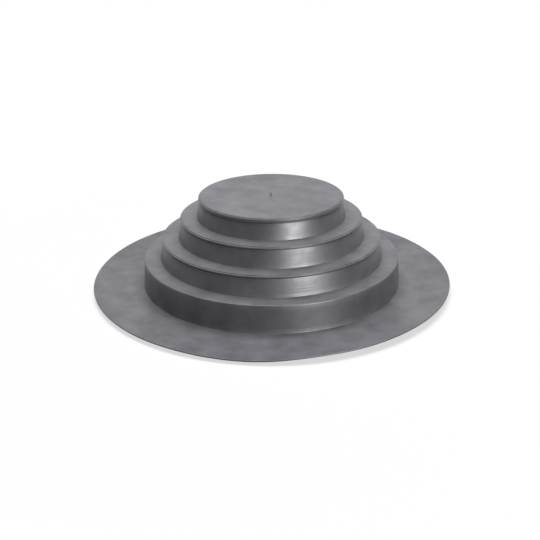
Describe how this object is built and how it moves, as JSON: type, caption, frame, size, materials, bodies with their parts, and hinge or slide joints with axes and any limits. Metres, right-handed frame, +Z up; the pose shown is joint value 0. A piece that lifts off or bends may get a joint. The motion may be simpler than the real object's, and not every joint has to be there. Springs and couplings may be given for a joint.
{
  "type": "pipe flashing boot",
  "caption": "Stepped, closed-top rubber boot on a wide round flange, cut to suit and stretched over a pipe to seal it where it passes through a roof.",
  "frame": {"origin": "centre of the flange's underside, on the axis of the pipe", "axes": "+Z up the axis of the pipe, from the flange to the closed top; X and Y lie in the underside of the flange"},
  "size_m": [0.25, 0.25, 0.0654],
  "materials": {
    "rubber": "satin moulded EPDM rubber"
  },
  "bodies": {
    "root": {"boot": "rubber"}
  },
  "joints": []
}
